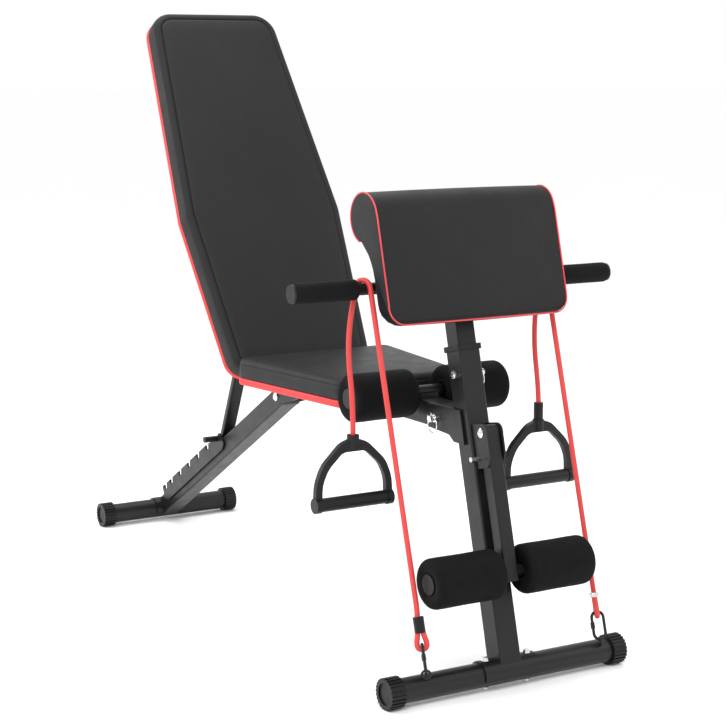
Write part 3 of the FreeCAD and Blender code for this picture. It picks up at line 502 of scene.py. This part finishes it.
def padHalf(t):  # half the width at a height: the two lower corners are rounded
    r = preacher["corner"]
    rise = preacher["low"] + r - t
    if rise <= 0:
        return preacher["half"]
    return preacher["half"] - r + math.sqrt(max(0.0, r * r - rise * rise))


stations = [(-1.0, 0.0032), (-0.9965, 0.0011), (-0.988, 0.0002)]
stations += [(-0.96 + 0.08 * k, 0.0) for k in range(25)]
stations += [(0.988, 0.0002), (0.9965, 0.0011), (1.0, 0.0032)]
rings = []
for u, shrink in stations:
    ring = []
    for i, (d, t) in enumerate(profile):
        before, after = Vector(profile[i - 1]), Vector(profile[(i + 1) % len(profile)])
        along = (after - before).normalized()
        inward = Vector((along.y, -along.x))
        swell = 0.0012 * (1 - u * u)
        p = Vector((d, t)) + inward * (shrink - swell)
        ring.append(leaned(u * padHalf(t), p.x, p.y))
    rings.append(ring)
points, faces = stitched(rings)
armPad = addMesh("preacherPad", points, faces, "vinyl", "preacher", smooth=48.0)
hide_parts("preacher_pad")

faceD = preacher["face"] - 0.0010
r = preacher["corner"]
edgeLine = []
for k in range(40):  # from the neck behind, over the roll to the face
    a = math.radians(-56 + 6 * k)
    edgeLine.append(leaned(-preacher["half"] + 0.0008, rollD + preacher["trimRadius"] * math.cos(a),
                           rollT + preacher["trimRadius"] * math.sin(a)))
edgeLine += [leaned(-preacher["half"] + 0.0007, faceD, rollT - 0.006 - 0.006 * k) for k in range(24)
             if rollT - 0.006 - 0.006 * k > preacher["low"] + r + 0.003]
for k in range(13):
    a = math.radians(180 + 7.5 * k)
    edgeLine.append(leaned(-preacher["half"] + r + (r - 0.0006) * math.cos(a), faceD + 0.0006,
                           preacher["low"] + r + (r - 0.0008) * math.sin(a)))
flip = [Vector((-p.x, p.y, p.z)) for p in reversed(edgeLine)]
across = [edgeLine[-1].lerp(flip[0], k / 24) for k in range(1, 24)]
faceTrim = tube("facePiping", edgeLine + across + flip, preacher["trim"], "piping", "preacher", 10)
print("preacher pad made")


def foamRoll(name, node, body, bore, rim, finish, dish=0.0):
    low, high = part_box(node)
    centre = Vector([(a + b) / 2 for a, b in zip(low, high)])
    half = (high[0] - low[0]) / 2
    outer = (high[2] - low[2]) / 2
    end = []
    for k in range(9):
        a = math.radians(90 * k / 8)
        end.append((half - rim + rim * math.cos(a), outer - rim + rim * math.sin(a)))
    dent = [(half - dish, bore), (half - dish, outer * 0.42), (half - dish * 0.4, outer * 0.52)]
    bodyLine = [(-x, r) for x, r in dent + end]
    swell = [(-half + rim + (half - rim) * 2 * k / 14, outer * (1 - 0.006 * math.cos(math.pi * (k / 7 - 1))))
             for k in range(2, 13)]
    profile = bodyLine + swell + list(reversed(dent + end))
    piece = revolved(name, profile + [(-half + dish, bore)], centre, (1, 0, 0), finish, body)
    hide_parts(node)
    return piece


roller = {"bore": 0.0128, "rim": 0.011, "dish": 0.003}
for place in ("upper", "lower"):
    for side in ("left", "right"):
        node = place + "_roller_" + side
        foamRoll(place + "Roller" + side.capitalize(), node, node, roller["bore"], roller["rim"],
                 "foam", roller["dish"])
barFoam = {"bore": 0.0096, "rim": 0.0035, "dish": 0.0004}
for side in ("left", "right"):
    foamRoll("barFoam" + side.capitalize(), "bar_grip_" + side, "preacher", barFoam["bore"], barFoam["rim"],
             "grip", barFoam["dish"])
print("foam made")

barLow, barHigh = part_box("handlebar")
barMid = Vector((0, (barLow[1] + barHigh[1]) / 2, (barLow[2] + barHigh[2]) / 2))
ropeRadius = 0.0043
wrap = (barHigh[2] - barLow[2]) / 2 + ropeRadius + 0.0003
eyes = {"left": Vector((-0.1585, foot.y - 0.0125, 0.0506)),
        "right": Vector((0.1800, foot.y - 0.0135, 0.0506))}
hangs = {
    "left": [(-0.1830, 0.6140), (-0.1895, 0.5830), (-0.1930, 0.5430), (-0.1908, 0.5030), (-0.1868, 0.4680),
             (-0.1849, 0.4330)],
    "right": [(0.1758, 0.6170), (0.1714, 0.5900), (0.1683, 0.5610), (0.1676, 0.5300), (0.1696, 0.4990),
              (0.1734, 0.4710), (0.1768, 0.4435)],
}
crimps = {"left": (0.0630, 0.0882, 0.0086), "right": (0.0690, 0.0765, 0.0089)}  # from, to, radius
for word, side, spin in (("left", -1, -30.0), ("right", 1, 60.0)):
    eye = eyes[word]
    away = Vector((0, barMid.y - eye.y, barMid.z - eye.z))
    tilt = math.atan2(away.y, away.z) - math.asin(wrap / away.length)
    top = Vector((side * 0.1695, barMid.y - wrap * math.cos(tilt), barMid.z + wrap * math.sin(tilt)))
    aim = (top - eye).normalized()
    upright = Vector((0, 0, 1)).rotation_difference(aim).to_matrix()
    turn = upright @ Matrix.Rotation(math.radians(spin), 3, "Z")

    def onLine(x, s):
        return eye + turn @ Vector((x, 0, s))

    low, high, crimpRadius = crimps[word]
    loopPoints = [onLine(0.0042, low + 0.004), onLine(0.0048, low - 0.004), onLine(0.0082, 0.047),
                  onLine(0.0062, 0.0376), onLine(-0.0062, 0.0376), onLine(-0.0082, 0.047),
                  onLine(-0.0048, low - 0.004), onLine(-0.0040, low + 0.004), onLine(-0.0008, high + 0.002),
                  onLine(0.0, high + 0.012), onLine(0.0, high + 0.03), top - aim * 0.02, top]
    frontLine = centreLine("frontLine" + word, loopPoints)
    cham, hole = 0.0009, 0.0040
    bead = [(low, hole), (low, crimpRadius - cham), (low + cham, crimpRadius), (high - cham, crimpRadius),
            (high, crimpRadius - cham), (high, hole)]
    coat = "cap" if side < 0 else "zinc"
    sleeve = revolved("ropeCrimp" + word.capitalize(), bead, eye, aim, coat, "front_post", 32)
    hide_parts("rope_crimps")
    front = tube("ropeFront" + word.capitalize(), frontLine, ropeRadius, "rope", None)
    onLine(0, high + 0.004)
    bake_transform(front)
    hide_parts("rope_front_" + word)
    past = wrap * math.tan((math.pi - tilt) / 4)
    back = barMid.y + wrap
    handle = Vector(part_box("handle_ferrule" if word == "right" else "d_handle_left")[1])
    hub = sum((Vector(p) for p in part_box("d_handle_" + word)), Vector()) / 2
    end = Vector((hub.x, back, handle.z))
    ropePoints = [top, top + aim * past + Vector((side * 0.0015, 0, 0)),
                  Vector((side * 0.1785, back, barMid.z + past))]
    ropePoints += [Vector((x, back, z)) for x, z in hangs[word]] + [end]
    rearLine = centreLine("rearLine" + word, ropePoints)
    rear = tube("ropeRear" + word.capitalize(), rearLine, ropeRadius, "rope", None)
    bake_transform(rear)
    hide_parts("rope_rear_" + word)
    lengths = [sum((b - a).length for a, b in zip(line, line[1:])) for line in (frontLine, rearLine)]
    [tuple(p) for p in frontLine]
    [tuple(p) for p in rearLine]

pinUp = 0.478  # the height pin, up along the post
nut = [(-0.0268, 0.0010), (-0.0268, 0.0034), (-0.0262, 0.0040), (-0.0257, 0.0040), (-0.0257, 0.0062),
       (-0.0249, 0.0072), (-0.0209, 0.0072), (-0.0201, 0.0066)]
pinNut = revolved("heightPinNut", nut, leaned(0.0, 0.0, pinUp), (1, 0, 0), "zinc", "front_post", 6, 20.0)
print("ropes made")

paper = Finish("paleFloor", Roughness=0.9, Specular_IOR_Level=0.1)
paper.feed("Base Color", paper.tint(paper.noise(3.0), (0.985, 0.985, 0.985), (1.0, 1.0, 1.0)))
finishes["floor"] = paper.material
ground, wide = cadBox[0][2], 60.0
corners = [(-wide, -wide, ground), (wide, -wide, ground), (wide, wide, ground), (-wide, wide, ground)]
floor = addMesh("studioFloor", corners, [(0, 1, 2, 3)], "floor", None)

world = bpy.data.worlds.new("studio")
bpy.context.scene.world = world
world.use_nodes = True
world.node_tree.nodes["Background"].inputs["Color"].default_value = (1.0, 1.0, 1.0, 1)
world.node_tree.nodes["Background"].inputs["Strength"].default_value = 1.0


def softLight(name, place, target, size, power):
    lamp = bpy.data.lights.new(name, "AREA")
    lamp.shape, lamp.size, lamp.size_y, lamp.energy = "RECTANGLE", size[0], size[1], power
    holder = bpy.data.objects.new(name, lamp)
    bpy.context.scene.collection.objects.link(holder)
    holder.location = place
    holder.rotation_euler = (Vector(target) - Vector(place)).to_track_quat("-Z", "Y").to_euler()


softLight("keyLight", (-1.6, -2.2, 2.6), (0, 0, 0.45), (1.6, 1.2), 46)
softLight("fillLight", (2.4, -1.6, 1.5), (0, 0, 0.4), (1.4, 1.4), 12)
softLight("topLight", (0.0, 0.6, 2.9), (0, 0, 0.4), (2.0, 1.4), 34)
softLight("rimLight", (-2.2, 1.6, 1.6), (0, 0, 0.5), (1.0, 1.6), 30)

scene = bpy.context.scene
lens = bpy.data.cameras.new("mainCamera")
lens.sensor_width, lens.lens = 36.0, 90.95
camera = bpy.data.objects.new("mainCamera", lens)
scene.collection.objects.link(camera)
camera.location = (-1.6328, -2.9289, 0.9787)
camera.rotation_euler = (math.radians(90 - 9.248), 0, math.radians(-30.774))
scene.camera = camera
scene.view_settings.view_transform = "Standard"

bpy.context.view_layer.update()
